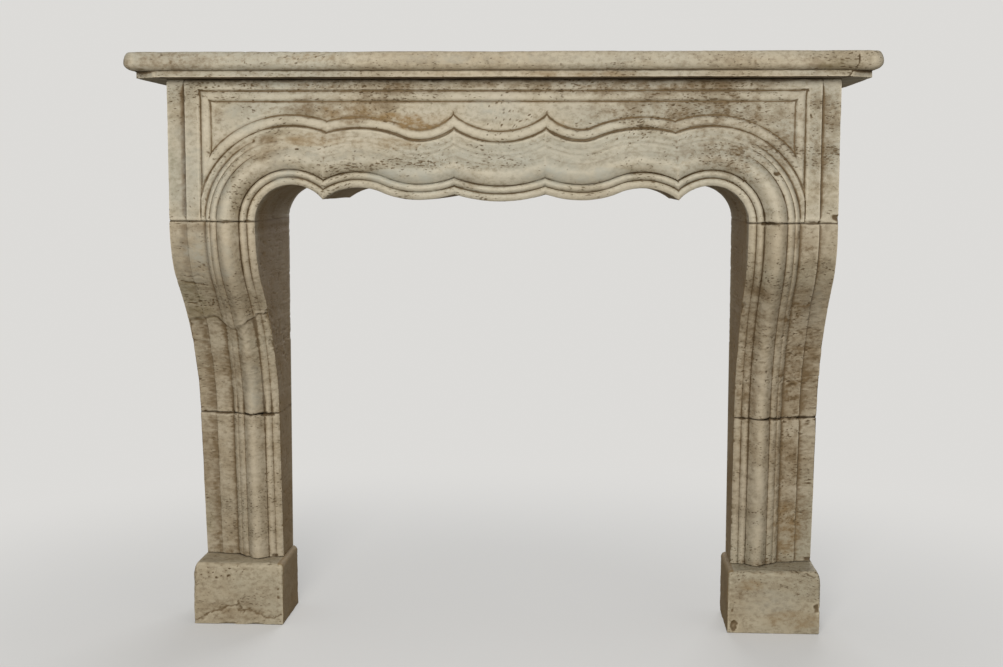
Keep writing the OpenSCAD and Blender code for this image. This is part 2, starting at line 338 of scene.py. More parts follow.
def relaxed(points, faces, rounds):
    """Each point averaged with its neighbours along the edges, some rounds over."""
    ends = np.concatenate([faces[:, [k, (k + 1) % 4]] for k in range(4)])
    a, b = np.concatenate([ends, ends[:, ::-1]]).T
    count = np.maximum(np.bincount(a, minlength=len(points)), 1)[:, None]
    for _ in range(rounds):
        mean = np.stack([np.bincount(a, points[b, k], len(points)) for k in range(3)], 1) / count
        points = 0.35 * points + 0.65 * mean
    return points


cube = np.array(list(np.ndindex(2, 2, 2)), float)
rim = np.array([[0, 1, 3, 2], [4, 6, 7, 5], [0, 4, 5, 1], [2, 3, 7, 6], [0, 2, 6, 4], [1, 5, 7, 3]])
print("a cube has", open_edges(rim), "open edges and", open_edges(rim[:5]), "without one face")
print("its first corner points", point_normals(cube, rim)[0].round(2))

# %% [markdown]
# ## Chance that repeats
# Stone is uneven at every size. A cloud is smooth noise: a number hashed from each corner of a
# lattice of cubes, blended between the corners, in octaves of rising fineness. Pits are strewn
# one to a cube, each with its own centre and radius, which is how travertine's gas holes lie.
# The hash has no state, so the stone comes out the same on every run.
# %% Clouds and pits


def corner_number(cell, seed):
    """A number from 0 to 1 for each whole-numbered corner, by multiplying and folding bits."""
    cell = cell.astype(np.int64).astype(np.uint64)
    h = cell[..., 0] * np.uint64(73856093) ^ cell[..., 1] * np.uint64(19349663)
    h = h ^ cell[..., 2] * np.uint64(83492791) ^ np.uint64(seed * 40503 + 977)
    for shift, factor in ((15, 2246822519), (13, 3266489917)):
        h = (h ^ (h >> np.uint64(shift))) * np.uint64(factor) & np.uint64(0xFFFFFFFF)
    return ((h ^ (h >> np.uint64(16))) & np.uint64(0xFFFFFF)).astype(float) / 0xFFFFFF


def cloud(points, size, seed, octaves=3):
    """Smooth noise from about -1 to 1 with lumps of a size (one number, or one per axis)."""
    total, weight, reach = 0.0, 1.0, 0.0
    q = points / np.asarray(size, float)
    for octave in range(octaves):
        base = np.floor(q)
        t = q - base
        t = t * t * (3 - 2 * t)
        value = 0.0
        for corner in np.ndindex(2, 2, 2):
            share = np.prod(np.where(np.array(corner) == 1, t, 1 - t), axis=1)
            value = value + share * corner_number(base + np.array(corner), seed + octave)
        total = total + weight * (2 * value - 1)
        reach += weight
        weight *= 0.5
        q = q * 2.03 + 17.7
    return total / reach * 1.5


def pits(points, size, seed, crowd):
    """Depth from 0 to 1 of hollows strewn one to a cell; crowd from 0 to 1 sets their radius."""
    q = points / np.asarray(size, float)
    base = np.floor(q)
    deepest = np.zeros(len(points))
    for offset in np.ndindex(3, 3, 3):
        cell = base + np.array(offset) - 1
        centre = cell + np.stack([corner_number(cell, seed + k) for k in range(3)], 1)
        radius = (0.12 + 0.5 * corner_number(cell, seed + 3) ** 2) * crowd
        gap = np.linalg.norm(q - centre, axis=1) / np.maximum(radius, 1e-6)
        deepest = np.maximum(deepest, np.clip(1 - gap ** 2, 0, 1))
    return deepest


def ramp(value, start, end):
    """0 before start, 1 after end, an even S between them."""
    t = np.clip((value - start) / (end - start), 0, 1)
    return t * t * (3 - 2 * t)


sample = np.random.default_rng(4).uniform(0, 900, (4000, 3))
print("cloud from", cloud(sample, 40, 1).min().round(2), "to", cloud(sample, 40, 1).max().round(2))

# %% [markdown]
# ## Wear that is in a known place
# Some wear can't be left to chance: the chips along the joints, the cracks, a mended ledge on
# the left knee. A crack is a broken line on the face and cuts a narrow V around it. A chip is
# an oval dish. A stain is the same oval with no depth, only colour.
# %% Cracks, chips and stains


def line_gap(x, z, line):
    """Distance from each point (x, z) to the nearest stretch of a broken line."""
    nearest = np.full(x.shape, 1e9)
    for (x1, z1), (x2, z2) in zip(line[:-1], line[1:]):
        length = (x2 - x1) ** 2 + (z2 - z1) ** 2
        t = np.clip(((x - x1) * (x2 - x1) + (z - z1) * (z2 - z1)) / length, 0, 1)
        nearest = np.minimum(nearest, np.hypot(x - x1 - t * (x2 - x1), z - z1 - t * (z2 - z1)))
    return nearest


def oval(x, z, mark):
    """1 at the centre of an oval and 0 at its rim; a mark is (x, z, half width, half height)."""
    return np.clip(1 - ((x - mark[0]) / mark[2]) ** 2 - ((z - mark[1]) / mark[3]) ** 2, 0, 1)


print("an oval at its centre, half way and rim:", oval(np.array([0, 1, 2]), np.zeros(3), (0, 0, 2, 1)))

# %% The list of marks
CRACKS = [  # a broken line of (x, z), half width, depth, darkness
    ([(623, 1094), (625, 1081), (619, 1069), (611, 1058)], 1.3, 2.2, 1.0),
    ([(-388, 1088), (-367, 1092), (-349, 1086), (-328, 1089), (-303, 1094)], 1.0, 0.7, 0.7),
    ([(470, 1013), (476, 998), (473, 984), (477, 973)], 0.9, 0.9, 0.7),
    ([(-604, 690), (-585, 684), (-566, 682), (-548, 680)], 2.0, 1.6, 0.6),
    ([(-585, 694), (-561, 699), (-546, 692)], 1.6, 0.8, 0.5),
    ([(560, 596), (575, 600), (598, 594)], 1.4, 1.0, 0.6),
    ([(-622, 2), (-600, 12), (-584, 22), (-560, 33), (-535, 39), (-529, 41), (-520, 27), (-502, 32),
      (-478, 20), (-472, 12), (-440, 18)], 3.6, 1.5, 0.42),
    ([(-532, 38), (-526, 44), (-521, 33), (-512, 25)], 3.0, 1.8, 0.6)]
CHIPS = [  # x, z, half width, half height, depth
    (-494, 800, 18, 3.4, 5.5), (-455, 800, 9, 2.8, 4), (-560, 800, 14, 2.8, 4),
    (482, 800, 22, 3.4, 5.5), (562, 801, 19, 3.2, 5.5), (599, 808, 7, 9, 4), (-556, 416, 24, 3.0, 5),
    (-504, 417, 18, 2.6, 4.5), (-466, 415, 14, 3.0, 5), (566, 417, 27, 3.6, 6), (530, 416, 18, 2.6, 4),
    (459, 417, 12, 2.8, 4.5), (-442, 783, 7, 9, 3.5), (-447, 618, 8, 12, 3), (-449, 560, 6, 9, 3),
    (447, 640, 7, 12, 3), (491, 888, 8, 5, 3.5), (308, 1010, 3.5, 2.4, 2), (552, 989, 3.4, 3, 2),
    (-364, 930, 3.4, 2, 2), (-545, 1, 20, 4, 3), (-492, 1, 16, 3.6, 3), (608, 52, 7, 9, 4),
    (448, 14, 8, 12, 4), (598, 128, 10, 6, 3), (-462, 126, 9, 5, 3)]
STAINS_AND_PAINTED_LIGHT = {  # x, z, half width, half height, strength
    "ochre": [
        (-140, 978, 52, 16, 1.5), (-185, 988, 60, 9, 0.9), (-116, 985, 26, 12, 1.2),
        (-275, 998, 62, 20, 0.55), (-330, 948, 60, 14, 0.6), (-205, 940, 80, 12, 0.5),
        (560, 190, 26, 60, 0.7), (548, 210, 22, 40, 0.6), (480, 96, 26, 12, 0.6),
        (560, 28, 60, 20, 0.6), (150, 1060, 120, 8, 0.5), (-330, 1090, 60, 8, 0.4),
        (120, 975, 30, 6, 0.4)],
    "brown": [
        (-290, 1008, 110, 26, 0.75), (-250, 1040, 200, 16, 0.6), (250, 1040, 260, 18, 0.75),
        (300, 1005, 190, 26, 0.5), (-128, 972, 46, 8, 1.1), (-511, 990, 10, 14, 0.9),
        (-418, 947, 24, 9, 0.6), (-304, 962, 28, 18, 0.9), (-265, 987, 34, 16, 1.0),
        (405, 1000, 26, 40, 0.8), (455, 985, 12, 50, 0.7), (590, 985, 24, 34, 0.5),
        (430, 930, 120, 60, 0.5), (520, 965, 40, 60, 0.6), (350, 985, 160, 26, 0.6),
        (570, 930, 30, 80, 0.4), (-55, 872, 34, 14, 0.5), (-10, 1046, 500, 7, 0.6),
        (-440, 915, 60, 40, 0.3), (-560, 788, 40, 10, 0.4), (545, 770, 26, 28, 0.8),
        # The last oval on the next line, at (-600, 1080), darkens the left end of the shelf's nose: painted
        # shade.
        (468, 640, 26, 120, 0.6), (464, 480, 24, 80, 0.8), (-600, 1080, 100, 24, 0.6),
        (470, 260, 30, 60, 0.4), (552, 600, 40, 90, 0.9), (560, 480, 48, 80, 1.0),
        (585, 520, 26, 100, 0.7), (460, 590, 30, 60, 0.5), (452, 470, 30, 60, 0.5),
        (548, 330, 34, 90, 0.75), (560, 210, 44, 70, 0.9), (470, 350, 24, 80, 0.3),
        (500, 560, 40, 100, 0.35), (560, 1020, 60, 16, 0.4), (588, 1008, 26, 14, 0.6),
        (-540, 520, 60, 90, 0.35), (-590, 300, 26, 120, 0.4), (-545, 128, 60, 14, 0.6),
        (520, 128, 70, 12, 0.6), (-540, 26, 70, 26, 0.45), (470, 80, 40, 24, 0.4),
        # The two ovals on the next line darken the ends of the shelf's nose: painted shade.
        (-600, 1075, 60, 12, 0.4), (560, 1076, 90, 12, 0.4)],
    "olive": [
        (-588, 650, 30, 42, 0.7), (-575, 618, 44, 20, 0.4), (-595, 900, 14, 60, 0.5),
        (-600, 190, 16, 30, 0.4), (590, 1075, 40, 12, 0.4)],
    "bloom": [
        (-5, 1000, 62, 24, 1.0), (130, 1000, 50, 18, 0.5), (-150, 880, 110, 18, 1.0),
        (110, 885, 130, 22, 1.0), (-20, 925, 160, 20, 0.5), (-390, 890, 30, 40, 0.8),
        (-560, 740, 50, 60, 0.6), (-575, 890, 40, 100, 0.7), (-470, 985, 46, 30, 0.6),
        (-300, 920, 120, 18, 0.7), (100, 920, 160, 26, 0.6), (250, 930, 130, 24, 0.5),
        (-505, 850, 26, 60, 0.6), (-505, 730, 24, 40, 0.7), (575, 640, 20, 46, 0.7),
        # The oval at (0, 1086) on the next line is a painted highlight along the middle of the shelf's
        # nose.
        (-492, 470, 26, 60, 0.45), (480, 250, 30, 90, 0.3), (0, 1086, 260, 10, 0.4),
        (520, 60, 60, 30, 0.35)]}
LEDGE = np.array([(-640, 611), (-607, 612), (-582, 612), (-555, 617), (-544, 612), (-531, 598), (-518, 592),
                  (-501, 597), (-491, 601), (-481, 610), (-474, 618), (-464, 623), (-440, 624)], float)
print("cracks:", len(CRACKS), "chips:", len(CHIPS), "stains:", {k: len(v) for k, v in STAINS_AND_PAINTED_LIGHT.items()})

# %% [markdown]
# ## Weathering a stone
# Two centuries rubbed the arrises, opened the edges at the joints and sank the pits. Nearly all
# of it goes inwards, so the stone stays inside its construction box. First come the kinds of
# wear that follow a line: the joints between stones and the ledge on the left knee.
# %% Joints and ledge


def joint_wear(points, levels, seed):
    """Depth lost beside the joints, and how dark they are: a fine bevel and wider chips."""
    lost, dark = np.zeros(len(points)), np.zeros(len(points))
    for k, level in enumerate(levels):
        gap = np.abs(points[:, 2] - level)
        along = points * [1, 0.35, 0] + [0, 0, level]
        fret = ramp(cloud(along, 9, seed + k, 2), 0.1, 1.0)
        wide = ramp(cloud(along, 34, seed + 20 + k, 2), 0.2, 0.9)
        reach = 1.2 + 2.0 * wide + 0.9 * fret
        lost += 3.0 * np.exp(-gap / 1.1) + (1.8 * fret + 3.2 * wide) * np.exp(-(gap / reach) ** 2)
        dark = np.maximum(dark, (0.8 + 0.2 * wide) * np.exp(-(gap / (2.6 + 1.8 * wide)) ** 2))
    return lost, dark


def ledge_wear(points):
    """The mended left knee: below a wavy line the face lies a little deeper, with a band of painted shade
    just under the line.
    """
    edge = np.interp(points[:, 0], LEDGE[:, 0], LEDGE[:, 1]) + 3.0 * cloud(points, 14, 83, 3)
    below = edge - points[:, 2]
    here = ramp(-points[:, 0], 440, 446) * (points[:, 2] > joint_low)
    lost = 3.8 * ramp(below, -3, 6) * (1 - 0.75 * ramp(below, 8, 70))
    # The second value is painted shade: a soft dark band just below the ledge's step.
    return lost * here, np.exp(-((below - 3) / 5) ** 2) * here


print("the ledge runs from", LEDGE[0], "to", LEDGE[-1])

# %% [markdown]
# The marks listed above are cut next. Each is nudged by two clouds, `stir`, so that no line is
# straight and no oval even. Stains have no depth. They are only noted at each point, with a
# frayed rim, and so is the painted shadow that hangs under the shelf.
# %% Marks, stains and the painted shadow under the shelf


def marks_cut(x, z, stir, share):
    """Depth and darkness of the cracks, which are bells across, and of the chips, oval dishes."""
    depth, dark = np.zeros(len(x)), np.zeros(len(x))
    for line, width, deep, darkness in CRACKS:
        gap = line_gap(x + (0.5 + width) * stir[0], z + (0.5 + width) * stir[1], line)
        cut = np.exp(-(gap / width) ** 2) * share
        depth, dark = np.maximum(depth, deep * cut), np.maximum(dark, darkness * cut)
    for mark in CHIPS:
        dish = oval(x + 2 * stir[0], z + 1.2 * stir[1], mark[:4]) * share
        depth = np.maximum(depth, mark[4] * np.sqrt(dish))
        dark = np.maximum(dark, np.clip(1.9 - mark[3] / 4.6, 0.1, 1) * ramp(dish, 0.1, 0.8))
    return depth, dark


def stain_and_light_notes(points, facing):
    """How strongly each kind of stain lies on each point that faces the room. A few ovals on the shelf's
    nose are painted shade and a painted highlight.
    """
    fray = np.clip(1 + 0.9 * cloud(points * [1, 1, 1.5], 22, 79, 4), 0, 1.6)
    notes = {}
    for kind, marks in STAINS_AND_PAINTED_LIGHT.items():
        ovals = [mark[4] * np.sqrt(oval(points[:, 0], points[:, 2], mark[:4])) * fray for mark in marks]
        notes[kind] = np.max(ovals, axis=0) * facing
    return notes


def shelf_shadow(points, stir_x):
    """A dark bell of painted shadow below the shelf, and another of painted shade in the groove under its
    nose.
    """
    below = frieze_top - points[:, 2]
    under_nose = 0.8 * np.exp(-((below + 11) / 2.2) ** 2)
    # Painted shadow: dark just below the shelf's overhang, and painted shade in the groove under its nose.
    painted_shadow = np.where(below > -0.1, 1.35 * np.exp(-(below / 7) ** 2), under_nose)
    front = (np.abs(points[:, 0]) < half_w + 12) & (points[:, 1] < face_y + 12)
    return painted_shadow * (0.75 + 0.25 * stir_x) * front * (points[:, 2] > joint_high)


print("marks:", len(CRACKS) + len(CHIPS), "cut and", sum(len(v) for v in STAINS_AND_PAINTED_LIGHT.values()), "noted")

# %% [markdown]
# Faces that bear on a neighbour, the floor or the wall stay flat, because a bump there would
# lift the stone. Where the front arris of a bed is chipped, the bed's first millimetres go back
# with it. Everything else moves along its normal: long waves, small ruffles, pits and marks.
# %% Bearing faces and gas holes
PIT_DEPTH, NICK_DEPTH = 2.1, 1.6


def bearing(points, normals, beds):
    """1 on the flat faces that bear on a neighbour, the floor or the wall, else 0."""
    on = (normals[:, 1] > 0.97) & (np.abs(points[:, 1] - wall_y) < 0.01)
    for bed in beds:
        on |= (np.abs(normals[:, 2]) > 0.97) & (np.abs(points[:, 2] - bed) < 0.01)
    return on.astype(float)


def behind_edge(points, on_bed):
    """How far each point lies behind the front edge of a bed, found in strips 3 mm wide."""
    strip = np.round((points[:, 0] - points[:, 0].min()) / 3).astype(int)
    edge = np.full(strip.max() + 1, 1e9)
    np.minimum.at(edge, strip[on_bed], points[on_bed, 1])
    return np.maximum(points[:, 1] - edge[strip], 0)


def holes(points, seed, pitted):
    """Depth of the gas holes from 0 to 1: two sizes, crowded in some beds, with bent rims."""
    bedding = cloud(points, (160, 160, 26), seed + 1, 3)
    patchy = ramp(cloud(points, (110, 110, 55), seed + 2, 3) + 0.35 * bedding, -0.25, 0.9) * pitted
    warped = points + 2.2 * np.stack([cloud(points, 6, seed + 5 + k, 2) for k in range(3)], 1)
    big = pits(warped, (12, 9, 6.5), seed + 11, np.clip(patchy * 1.1, 0, 0.9))
    small = pits(warped, (6, 5, 4), seed + 17, np.clip(patchy * 1.5, 0, 1))
    return np.maximum(big, 0.75 * small)


print("deepest of some pits:", (PIT_DEPTH * holes(sample, 1, 1.0).max()).round(2), "mm")

# %% One stone's weather


def weathered(points, faces, seed, beds, joints, rough, pitted):
    """Displaced points in millimetres, with notes for the material. Bearing faces stay flat."""
    normals = point_normals(points, faces)
    free = 1 - bearing(points, normals, beds)
    x, z = points[:, 0], points[:, 2]
    facing = ramp(-normals[:, 1], 0.1, 0.3)
    bedded, reach_in = np.zeros(len(points)), np.ones(len(points))
    for bed in beds:
        level = np.abs(z - bed) < 0.01
        bedded[level] = 1
        reach_in = np.where(level & (free == 0), np.exp(-behind_edge(points, level) / 12), reach_in)
    cut_share = np.where(bedded * (1 - free) > 0, 1, 0.12 + 0.88 * facing)
    flat = normals * [1, 1, 0]
    flat /= np.maximum(np.linalg.norm(flat, axis=1, keepdims=True), 0.2)
    normals = np.where((bedded * free > 0)[:, None], flat, normals)
    hole = holes(points, seed, pitted)
    alike = np.abs(points) * [1, 0, 1] + points * [0, 1, 0]
    lumps = 0.6 * cloud(points, (24, 24, 16), seed + 23, 3) - 0.35
    wobble = 0.8 * cloud(alike, 120, 3, 2) + rough * lumps
    ruffle = 0.3 * rough * cloud(points, (8, 8, 3.6), seed + 29, 2)
    stir = cloud(points, 7, 71, 2), cloud(points, 7, 73, 2)
    mark, mark_note = marks_cut(x, z, stir, cut_share)
    joint, joint_note = joint_wear(points, joints, seed + 31)
    ledge, ledge_shade = ledge_wear(points)
    nicks = NICK_DEPTH * ramp(np.abs(np.abs(x) - half_open), 5, 0) \
        * ramp(cloud(points, (14, 14, 9), seed + 37, 3), 0.2, 0.9)
    cuts = np.maximum(joint * cut_share, mark)
    out = wobble + ruffle - PIT_DEPTH * hole - ledge * facing - nicks - cuts
    moved = points + normals * (free * out)[:, None]
    moved[:, 1] += bedded * (1 - free) * cuts * reach_in
    # dark holds the cracks, chips and joints, and also the painted shadow under the shelf. The ledge adds
    # painted shade below its step.
    dark = np.maximum(np.maximum(mark_note, shelf_shadow(points, stir[0])), joint_note)
    inside = (np.abs(x) < half_open + 1) & (np.abs(normals[:, 1]) < 0.5)
    notes = {"pit": hole * free, "crack": np.maximum(dark * reach_in, 0.33 * ledge_shade * facing),
             "soot": inside * ramp(np.abs(points[:, 1] - face_y), 0, 60)}
    return moved, notes | stain_and_light_notes(points, facing)


print("weather ready")

# %% [markdown]
# One function makes every stone from its patches. The last note is the hollowness: how far a
# point sinks below the mean of its neighbours, near and wider, because dirt gathers there. The
# finished mesh takes the place of the stone's construction node.
# %% Make a stone


def make_stone(name, node, slot, patches, seed, beds, joints, rough=0.6, pitted=0.6):
    """Welds, weathers and builds one stone; rough and pitted are levels or functions of points."""
    began = time.time()
    points, quads, triangles = weld(patches)
    faces = as_quads(quads, triangles)
    rough, pitted = [level(points) if callable(level) else level for level in (rough, pitted)]
    moved, notes = weathered(points, faces, seed, beds, joints, rough, pitted)
    low, high = stone_box(node)
    moved = np.clip(moved, low, high)
    normals = point_normals(moved, faces)
    near = relaxed(moved, faces, 3)
    far = relaxed(near, faces, 9)
    notes["hollow"] = ((near - moved) * normals).sum(1) * 0.9 + ((far - near) * normals).sum(1) * 0.5
    mesh = bpy.data.meshes.new(name)
    mesh.from_pydata((moved * MM).tolist(), [], quads.tolist() + triangles.tolist())
    for note, values in notes.items():
        mesh.attributes.new(note, "FLOAT", "POINT").data.foreach_set("value", values.astype(np.float32))
    mesh.polygons.foreach_set("use_smooth", np.ones(len(mesh.polygons), bool))
    mesh.set_sharp_from_angle(angle=math.radians(52))
    stone = bpy.data.objects.new(name, mesh)
    bpy.context.scene.collection.objects.link(stone)
    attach(stone, "root")
    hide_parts(node)
    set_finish(stone, slot)
    print(f"{name}: {2 * len(quads) + len(triangles)} triangles, {open_edges(faces)} open edges,",
          f"hollow {np.percentile(notes['hollow'], [5, 95]).round(2)}, {time.time() - began:.1f} s")


print("a stone is by default rough and pitted by", make_stone.__defaults__)

# %% [markdown]
# ## The frieze
# The frieze is laid out in columns that start on the arch line and end on the outer edge. Over
# the haunches the columns fan out to the side, elsewhere they stand nearly upright. Rows follow
# the moulding first, then the spandrel panel's ribbon: a low band between two soft grooves,
# drawn along the arch, up the sides and along the top, around a slightly sunk field. At a
# lower corner the ribbon of the arch meets the upright ribbon on a mitre, and there the inner
# rows shrink to nothing.
# %% Places of the panel
GAP, SIDE, TOP_GAP, BAND = 105.0, 60.0, 19.5, 20.5
side_x, top_z = half_w - SIDE, frieze_top - TOP_GAP
rebate_x = half_open + REBATE_LINE
insets = np.array([0, 1, 2, 3, 4.2, 6.5, 9.5, 12.8, 15.6, 17.4, 18.6, 19.6, 20.6, 21.7, 23.2, 26])
INNER = insets[-1]


def panel_height(inset):
    """Height beside the margin's across the ribbon: groove, low swell, groove, sunk field."""
    groove = 4.0 * (np.exp(-((inset - 2) / 2.7) ** 2) + np.exp(-((inset - BAND) / 2.8) ** 2))
    band = 0.9 * np.sin(np.pi * np.clip((inset - 3) / (BAND - 4), 0, 1))
    return band - groove - 1.6 * ramp(inset, BAND - 1, BAND + 3) + 0.6 * ramp(inset, BAND + 3, 62)


angles = np.radians(90 * np.arange(arc_steps[0]) / arc_steps[0])
side_reach = side_x - haunch_c[0]
mitre = (side_reach - (HAUNCH_R + GAP) * np.cos(angles)) / (1 + np.cos(angles))
columns = len(half_line(0))
mitre_inset = np.full(columns, INNER)
mitre_inset[:arc_steps[0]] = np.clip(mitre, 0, INNER)
corner_column = int(round(arc_steps[0] * 0.78))
full_column = int(np.argmax(mitre_inset >= INNER))
print("columns:", columns, "mitre ends at", full_column, "panel corner at", corner_column)

# %% Points of the panel's ribbon


def arc_side(inset):
    """A column's point on the arch side of the ribbon, held back at the mitre."""
    held = np.minimum(inset, mitre_inset)
    point = half_line(GAP + inset)
    k = arc_steps[0]
    reach = np.where(mitre < 0, side_reach / np.cos(angles), HAUNCH_R + GAP + held[:k])
    point[:k] = haunch_c + reach[:, None] * np.stack([np.cos(angles), np.sin(angles)], 1)
    return point


start_z = arc_side(INNER)[full_column, 1]
spread = np.clip((np.arange(columns) - full_column) / (corner_column - full_column), 0, 1)
across = arc_side(INNER)[:, 0] / arc_side(INNER)[corner_column, 0]
above = np.arange(columns) > corner_column


def rect_point(x_line, z_line):
    """A column's point on an upright line x_line that turns along a level line z_line."""
    foot = np.minimum(arc_side(INNER)[:, 1], start_z)
    z = np.where(np.arange(columns) < full_column, foot, start_z + (z_line - start_z) * spread)
    x = np.full(columns, x_line)
    return np.stack([np.where(above, across * x_line, x), np.where(above, z_line, z)], 1)


def rect_side(inset):
    """A column's point on the straight side of the ribbon, held back at the mitre."""
    held = np.minimum(inset, mitre_inset)
    point = rect_point(side_x - inset, top_z - inset)
    point[:full_column, 0] = side_x - held[:full_column]
    return point


print("panel corner at", rect_side(0)[corner_column].round(1), "mm")

# %% Rows from the arch out to the rebate
# The rolls stand full by the jambs and die away up the haunches.
rolls = 0.05 + 0.95 * ramp(half_line(0)[:, 0], 396, 440)
rows, heights = [], []
for off in moulding_rows:
    rows.append(half_line(off))
    heights.append(moulding_height(np.full(columns, off), rolls))
edge, first = half_line(MOULDING_W), arc_side(0)
for t in crowded(0, 1, 7, 0.2)[1:-1]:
    rows.append(edge + (first - edge) * t)
    heights.append(moulding_height(np.full(columns, MOULDING_W + (GAP - MOULDING_W) * t), rolls))
for inset in insets:
    rows.append(arc_side(inset))
    heights.append(MARGIN + panel_height(np.minimum(inset, mitre_inset)))
start, end = arc_side(INNER), rect_side(INNER)
for t in np.linspace(0, 1, 15)[1:-1]:
    rows.append(start + (end - start) * t)
    deep = np.minimum(INNER + 40 * np.sin(np.pi * t), 60)
    held = np.where(mitre_inset < INNER, mitre_inset, deep)
    heights.append(MARGIN + panel_height(np.minimum(deep, held)))
for inset in insets[::-1]:
    rows.append(rect_side(inset))
    heights.append(MARGIN + panel_height(np.minimum(inset, mitre_inset)))
start, end = rect_side(0), rect_point(rebate_x, frieze_top)
for t in crowded(0, 1, 11, 0.2)[1:]:
    rows.append(start + (end - start) * t)
    heights.append(np.full(columns, MARGIN))
plan, height = np.array(rows), np.array(heights)
print("rows:", len(rows), "tallest", height.max().round(2))

# %% The frieze's front, soffit and hidden faces
strip = rebate_x + np.array([0, 0.7, 1.6, 3, 6, 11, 18, 25, 30.5, 33, half_w - rebate_x])
half_front = np.stack([plan[..., 0], face_y - height, plan[..., 1]], -1)
mirror = np.array([-1.0, 1, 1])
front = np.concatenate([half_front, half_front[:, -2::-1] * mirror], 1)


def to_wall(line, steps=18):
    """Carries a line of front points straight back to the wall, in steps that widen."""
    back = line.copy()
    back[:, 1] = wall_y
    share = np.linspace(0, 1, steps + 1) ** 1.7
    return line[None] + (back - line)[None] * share[:, None, None]


coarse = half_open + jamb_w * np.linspace(0, 1, 5)


def snap_back(bed):
    """Moves the points of a bed's back edge along it to the nearest of five coarse places."""
    bed[-1, :, 0] = coarse[np.abs(bed[-1, :, 0][:, None] - coarse).argmin(1)]
    return bed


def rebate_step(x, width=1.8):
    """Height across the rebate's step, which is spread over a width, and its strip."""
    return MARGIN + (REBATE - MARGIN) * ramp(x, rebate_x, rebate_x + width)


print("front grid:", front.shape[:2])

# %% Patches of the frieze
side_z = half_front[-1, :corner_column + 1, 2]
strip_x, strip_z = np.meshgrid(strip, side_z)
crisp_strip, rubbed_strip = [np.stack([strip_x, face_y - rebate_step(strip_x, width), strip_z], -1)
                             for width in (1.8, 3.5)]
top_line = np.concatenate([crisp_strip[-1, ::-1], front[-1, corner_column + 1:-corner_column - 1],
                           rubbed_strip[-1] * mirror])
patches = [(front, (0, -1, 0)), (to_wall(front[0]), (0, 0, -1)), (to_wall(top_line), (0, 0, 1))]
for turned, out, strip_grid in ((np.ones(3), 1, crisp_strip), (mirror, -1, rubbed_strip)):
    bed = snap_back(to_wall(np.concatenate([half_front[:, 0], strip_grid[0, 1:]])))
    patches += [(strip_grid * turned, (0, -1, 0)), (to_wall(strip_grid[:, -1]) * turned, (out, 0, 0)),
                (bed * turned, (0, 0, -1))]
repeats = np.concatenate([np.arange(corner_column), np.full(len(strip), corner_column),
                          np.arange(corner_column + 1, front.shape[1] - corner_column - 1),
                          np.full(len(strip), front.shape[1] - corner_column - 1),
                          np.arange(front.shape[1] - corner_column, front.shape[1])])
outer = np.concatenate([crisp_strip[:-1, -1], top_line, (rubbed_strip[:-1, -1] * mirror)[::-1]])
inner = front[0][repeats]
back = inner[None] + (outer - inner)[None] * np.linspace(0, 1, 5)[:, None, None]
back[..., 1] = wall_y
patches.append((back, (0, 1, 0)))


def frieze_pitted(points):
    """Pits everywhere but on the clean left end and the swell just over the arch."""
    over_arch = ramp(points[:, 2], 915, 885) * (np.abs(points[:, 0]) < 400)
    return 0.72 - 0.45 * ramp(points[:, 0], -520, -560) - 0.5 * over_arch


make_stone("carved_frieze", "frieze", "frieze_stone", patches, 100, beds=[frieze_top, joint_high],
           joints=[joint_high, frieze_top], pitted=frieze_pitted)

# %% [markdown]
# ## The jambs
# A jamb stone is the moulding's section swept down the knee, so its front is a plain grid of
# heights by distances. Its two sides, back and beds close it. The levels crowd at the joints,
# where the arrises are worn, and the left and right stones are weathered apart.
# %% Heights and patches of a jamb
across_rows = joined(moulding_rows, crowded(MOULDING_W, REBATE_LINE, 14, 0.1), strip - half_open)


fine = np.linspace(-20, jamb_w + 20, 400)
fine_height = np.where(fine > REBATE_LINE, rebate_step(fine + half_open),
                       moulding_height(np.maximum(fine, 0)))
kernel = np.exp(-(np.linspace(-24, 24, 97) / 7.0) ** 2)
worn_height = np.convolve(np.pad(fine_height, 48, mode="edge"), kernel / kernel.sum(), mode="valid")


def jamb_height(distance, wear):
    """The moulding, margin and rebate, blended towards their own running mean by the wear."""
    crisp = np.where(distance > REBATE_LINE, rebate_step(distance + half_open), moulding_height(distance))
    return crisp + (np.interp(distance, fine, worn_height) - crisp) * wear


def left_wear(z):
    """Badly worn below the mended ledge, less so towards the foot."""
    return 0.22 + 0.45 * ramp(z, 720, 640) * ramp(z, 425, 470) + 0.30 * ramp(z, 425, 400)


def right_wear(z):
    """Lightly worn, more so round the knee."""
    return 0.22 + 0.20 * ramp(z, 700, 600) * ramp(z, 420, 480) + 0.16 * ramp(z, 425, 400)


def jamb_patches(low, high, step, wear, soft):
    """Front, sides, back and beds of a right-hand jamb stone; soft rubs the rebate's line."""
    near = np.array([0, 0.5, 1.1, 1.9])
    levels = joined(low + near, np.linspace(low + 3, high - 3, round((high - low) / step)), high - near)
    distance, z = np.meshgrid(across_rows, levels)
    height = jamb_height(distance, np.maximum(wear(z), soft * ramp(distance, 100, 110)))
    grid = np.stack([half_open + distance, jamb_face(z, distance) - height, z], -1)
    ends = [to_wall(grid[k], 28) for k in (0, -1)]
    for end in ends:
        snap_back(end)
    back_x, back_z = np.meshgrid(coarse, levels)
    rear = np.stack([back_x, np.full(back_x.shape, wall_y), back_z], -1)
    reveal, flank = to_wall(grid[:, 0], 28), to_wall(grid[:, -1], 28)
    return [(grid, (0, -1, 0)), (reveal, (-1, 0, 0)), (flank, (1, 0, 0)), (rear, (0, 1, 0)),
            (ends[0], (0, 0, -1)), (ends[1], (0, 0, 1))]


print("points across a jamb:", len(across_rows))

# %% Build the four jamb stones


def mirrored(patches):
    """The same patches on the other side of the centre line."""
    return [(grid * mirror, np.array(out) * mirror) for grid, out in patches]


